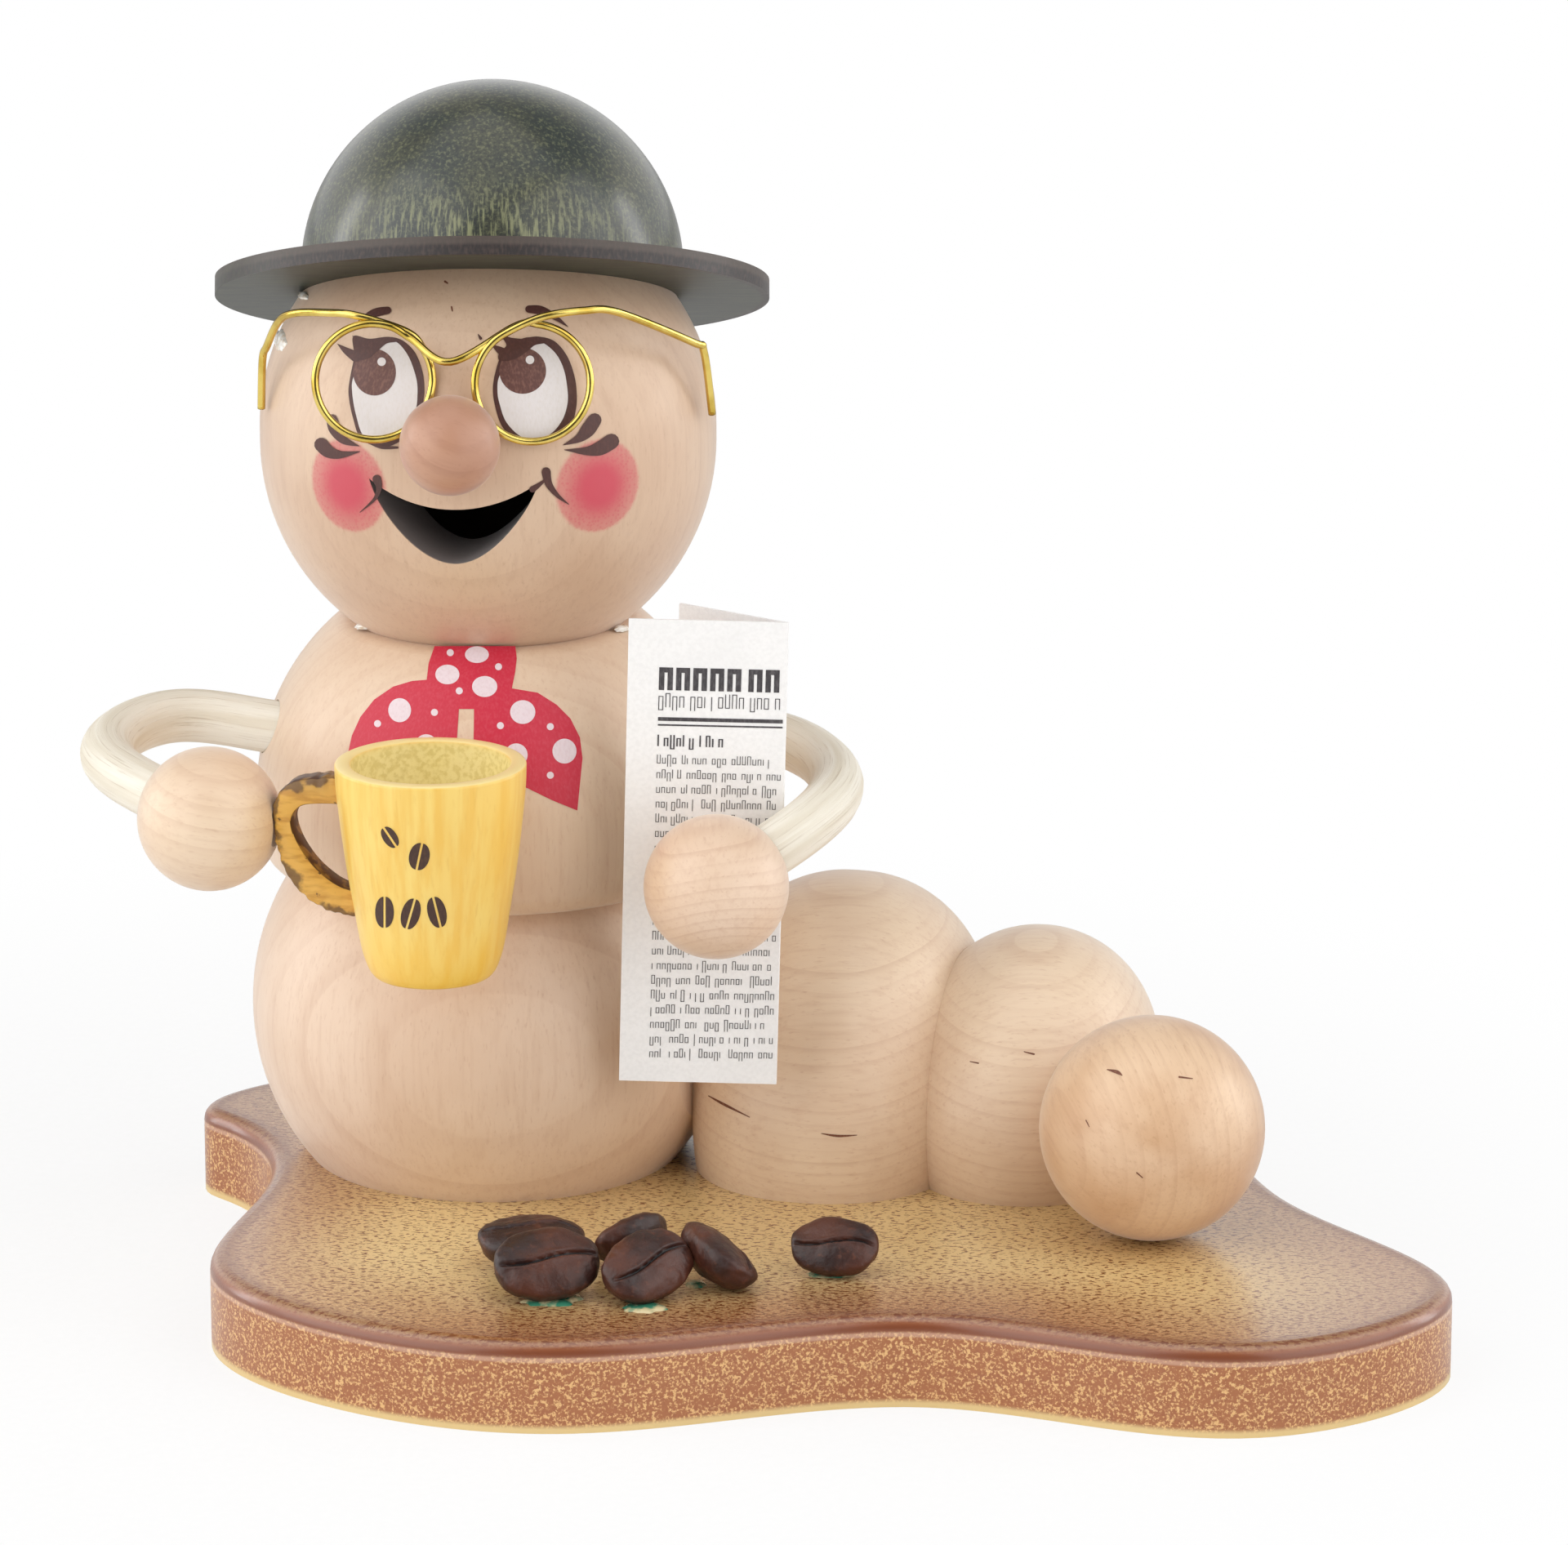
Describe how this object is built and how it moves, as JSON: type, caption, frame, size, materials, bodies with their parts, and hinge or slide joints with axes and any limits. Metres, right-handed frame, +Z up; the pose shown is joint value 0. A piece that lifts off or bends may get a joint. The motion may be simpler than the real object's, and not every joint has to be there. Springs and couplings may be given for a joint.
{
  "type": "incense smoker",
  "caption": "Turned wooden worm incense smoker with bowler hat, wire spectacles, mug and folded newspaper on a wavy base; the upper body lifts off to reach the incense plate.",
  "frame": {"origin": "middle of the outline box, at the underside of the base", "axes": "+X to the viewer's right along the tail, +Y away from the viewer (the figure looks towards -Y), +Z up"},
  "size_m": [0.149, 0.1018, 0.1297],
  "materials": {
    "body_wood": "pale turned maple, sanded smooth, thin matt lacquer",
    "torso_wood": "pale turned maple, sanded smooth, thin matt lacquer, polka-dot bow print",
    "head_wood": "pale turned maple, sanded smooth, thin matt lacquer, printed face",
    "nose_wood": "small turned ball, slightly pinker wood, satin",
    "tail_wood": "pale turned maple with level grain lines, satin",
    "tail_ball_wood": "pale turned maple ball, satin",
    "hand_wood": "small turned maple balls, satin",
    "dowel_wood": "plain beech dowel",
    "crown_wood": "turned half ball, dark green stain, satin",
    "brim_plywood": "thin plywood, dark green stain, burnt brown edge",
    "rattan": "natural round rattan, fine lengthwise fibres",
    "mug_wood": "turned wood, yellow stain, matt",
    "handle_plywood": "thin plywood, yellow stain, burnt edges",
    "newsprint": "white paper with grey print",
    "brass_wire": "polished wire",
    "brass_sheet": "plain brass sheet, slightly dull",
    "screw_steel": "zinc-plated",
    "sprayed_board": "fibreboard, beige spray with dark speckles, browner towards the edge",
    "roasted_bean": "dark roasted bean, slight gloss"
  },
  "bodies": {
    "base_body": {"base_plate": "sprayed_board", "base_screws": "screw_steel", "lower_body": "body_wood", "incense_plate": "brass_sheet", "plate_tack": "brass_sheet", "tail_segments": "tail_wood", "tail_ball": "tail_ball_wood", "tail_dowel": "dowel_wood", "coffee_bean_1": "roasted_bean", "coffee_bean_2": "roasted_bean", "coffee_bean_3": "roasted_bean", "coffee_bean_4": "roasted_bean", "coffee_bean_5": "roasted_bean", "coffee_bean_6": "roasted_bean"},
    "upper_body": {"torso": "torso_wood", "head": "head_wood", "nose": "nose_wood", "hat_brim": "brim_plywood", "hat_crown": "crown_wood", "spectacles": "brass_wire", "mug_arm": "rattan", "mug_hand": "hand_wood", "paper_arm": "rattan", "paper_hand": "hand_wood", "mug": "mug_wood", "mug_handle": "handle_plywood", "newspaper": "newsprint"}
  },
  "joints": [
    {"name": "upper_body_lift", "type": "slide", "parent": "base_body", "child": "upper_body", "axis": [0, 0, 1], "range_m": [0, 0.06]}
  ]
}
